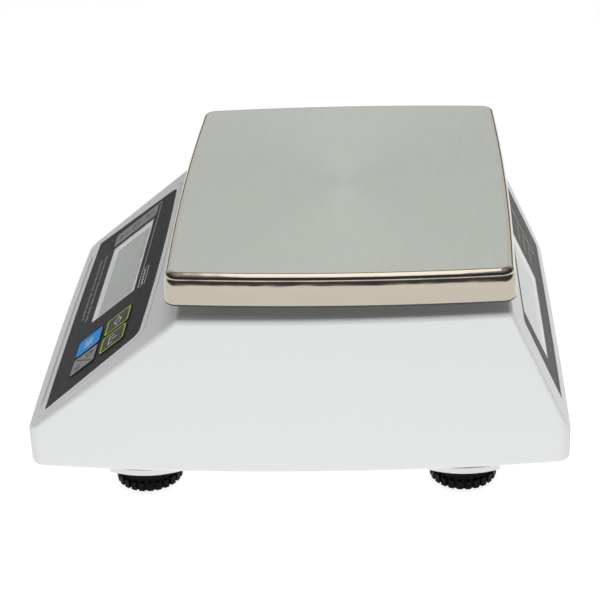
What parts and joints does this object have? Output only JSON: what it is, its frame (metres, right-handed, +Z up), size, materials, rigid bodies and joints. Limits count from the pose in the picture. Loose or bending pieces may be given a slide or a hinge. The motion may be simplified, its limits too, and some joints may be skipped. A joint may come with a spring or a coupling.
{
  "type": "counting scale",
  "caption": "Bench counting scale with a drafted housing, sloped operator panel, rear display, lift-off steel platter on a load cell, and levelling feet.",
  "frame": {"origin": "middle of the footprint, on the table under the feet", "axes": "+X to the operator's right, +Y to the rear (customer side), +Z up"},
  "size_m": [0.2536, 0.308, 0.137],
  "materials": {
    "white_housing": "satin gloss injection-moulded ABS",
    "white_base": "fine-textured ABS",
    "stainless": "polished skirt, fine satin top",
    "panel_charcoal": "printed polyester overlay, satin",
    "panel_grey_green": "printed polyester overlay, satin",
    "lcd_window": "clear window",
    "lcd_glass": "liquid-crystal glass, reflective grey",
    "circuit_board": "green solder mask",
    "black_component": "moulded epoxy",
    "black_plastic": "moulded ABS",
    "black_rubber": "matt rubber",
    "cell_jacket": "printed metal jacket",
    "spring_steel": "nickel-plated",
    "key_membrane": "printed key cap, satin",
    "zinc_screw": "zinc-plated",
    "black_oxide": "black-oxide steel",
    "cast_aluminium": "die-cast, bead-blasted",
    "load_cell_alloy": "machined and anodised",
    "brass_insert": "turned",
    "cable_grey": "PVC sheath",
    "wire_red": "PVC sheath",
    "level_fluid": "tinted liquid under glass"
  },
  "bodies": {
    "housing": {"upper_housing": "white_housing", "base_pan": "white_base", "housing_screws": "zinc_screw", "front_bezel": "white_housing", "front_overlay": "panel_charcoal", "front_lens": "lcd_window", "front_lcd": "lcd_glass", "front_display_board": "circuit_board", "key_domes": "key_membrane", "rear_overlay": "panel_grey_green", "rear_lens": "lcd_window", "rear_lcd": "lcd_glass", "rear_display_board": "circuit_board", "main_board": "circuit_board", "board_chips": "black_component", "buzzer": "black_component", "board_screws": "zinc_screw", "dc_jack": "black_plastic", "battery_box": "black_plastic", "battery_cells": "cell_jacket", "battery_contacts": "spring_steel", "battery_leads": "wire_red", "chassis": "cast_aluminium", "chassis_screws": "zinc_screw", "load_cell_foot": "cast_aluminium", "load_cell": "load_cell_alloy", "load_cell_bolts": "black_oxide", "overload_screw": "black_oxide", "load_cell_cable": "cable_grey", "front_ribbon": "cable_grey", "rear_ribbon": "cable_grey", "level_cup": "black_plastic", "level_vial": "level_fluid", "foot_inserts": "brass_insert"},
    "platform": {"load_cell_head": "cast_aluminium", "head_bolts": "black_oxide", "column": "cast_aluminium", "spider": "cast_aluminium", "spider_screws": "zinc_screw", "spider_pads": "black_rubber"},
    "platter": {"platter": "stainless"},
    "battery_door": {"battery_door": "white_base"},
    "key_zero": {"key_zero": "key_membrane"},
    "key_tare": {"key_tare": "key_membrane"},
    "key_sample": {"key_sample": "key_membrane"},
    "key_power": {"key_power": "key_membrane"},
    "foot_pad_fl": {"foot_pad_fl": "black_rubber"},
    "foot_wheel_fl": {"foot_wheel_fl": "black_plastic"},
    "foot_pad_fr": {"foot_pad_fr": "black_rubber"},
    "foot_wheel_fr": {"foot_wheel_fr": "black_plastic"},
    "foot_pad_rl": {"foot_pad_rl": "black_rubber"},
    "foot_wheel_rl": {"foot_wheel_rl": "black_plastic"},
    "foot_pad_rr": {"foot_pad_rr": "black_rubber"},
    "foot_wheel_rr": {"foot_wheel_rr": "black_plastic"}
  },
  "joints": [
    {"name": "platform_deflection", "type": "slide", "parent": "housing", "child": "platform", "axis": [0, 0, -1], "range_m": [0, 0.0006], "stiffness_N_per_m": 30000, "springref_m": -0.0006, "deforming": ["load_cell"]},
    {"name": "platter_lift", "type": "slide", "parent": "platform", "child": "platter", "axis": [0, 0, 1], "range_m": [0, 0.06]},
    {"name": "battery_door_slide", "type": "slide", "parent": "housing", "child": "battery_door", "axis": [1, 0, 0], "range_m": [0, 0.12]},
    {"name": "key_zero_press", "type": "slide", "parent": "housing", "child": "key_zero", "axis": [0, 0.6198, -0.7848], "range_m": [0, 0.0006], "stiffness_N_per_m": 1500, "springref_m": -0.0004},
    {"name": "key_tare_press", "type": "slide", "parent": "housing", "child": "key_tare", "axis": [0, 0.6198, -0.7848], "range_m": [0, 0.0006], "stiffness_N_per_m": 1500, "springref_m": -0.0004},
    {"name": "key_sample_press", "type": "slide", "parent": "housing", "child": "key_sample", "axis": [0, 0.6198, -0.7848], "range_m": [0, 0.0006], "stiffness_N_per_m": 1500, "springref_m": -0.0004},
    {"name": "key_power_press", "type": "slide", "parent": "housing", "child": "key_power", "axis": [0, 0.6198, -0.7848], "range_m": [0, 0.0006], "stiffness_N_per_m": 1500, "springref_m": -0.0004},
    {"name": "foot_fl_height", "type": "slide", "parent": "housing", "child": "foot_pad_fl", "axis": [0, 0, -1], "range_m": [0, 0.008]},
    {"name": "foot_fl_turn", "type": "hinge", "parent": "foot_pad_fl", "child": "foot_wheel_fl", "pos_m": [-0.1033, -0.0866, 0], "axis": [0, 0, 1], "range_deg": [0, 2305]},
    {"name": "foot_fr_height", "type": "slide", "parent": "housing", "child": "foot_pad_fr", "axis": [0, 0, -1], "range_m": [0, 0.008]},
    {"name": "foot_fr_turn", "type": "hinge", "parent": "foot_pad_fr", "child": "foot_wheel_fr", "pos_m": [0.1033, -0.0866, 0], "axis": [0, 0, 1], "range_deg": [0, 2305]},
    {"name": "foot_rl_height", "type": "slide", "parent": "housing", "child": "foot_pad_rl", "axis": [0, 0, -1], "range_m": [0, 0.008]},
    {"name": "foot_rl_turn", "type": "hinge", "parent": "foot_pad_rl", "child": "foot_wheel_rl", "pos_m": [-0.1033, 0.0933, 0], "axis": [0, 0, 1], "range_deg": [0, 2305]},
    {"name": "foot_rr_height", "type": "slide", "parent": "housing", "child": "foot_pad_rr", "axis": [0, 0, -1], "range_m": [0, 0.008]},
    {"name": "foot_rr_turn", "type": "hinge", "parent": "foot_pad_rr", "child": "foot_wheel_rr", "pos_m": [0.1033, 0.0933, 0], "axis": [0, 0, 1], "range_deg": [0, 2305]}
  ],
  "couplings": [
    {"joint": "foot_fl_turn", "follows": "foot_fl_height", "rad_per_m": 5026.5},
    {"joint": "foot_fr_turn", "follows": "foot_fr_height", "rad_per_m": 5026.5},
    {"joint": "foot_rl_turn", "follows": "foot_rl_height", "rad_per_m": 5026.5},
    {"joint": "foot_rr_turn", "follows": "foot_rr_height", "rad_per_m": 5026.5}
  ]
}
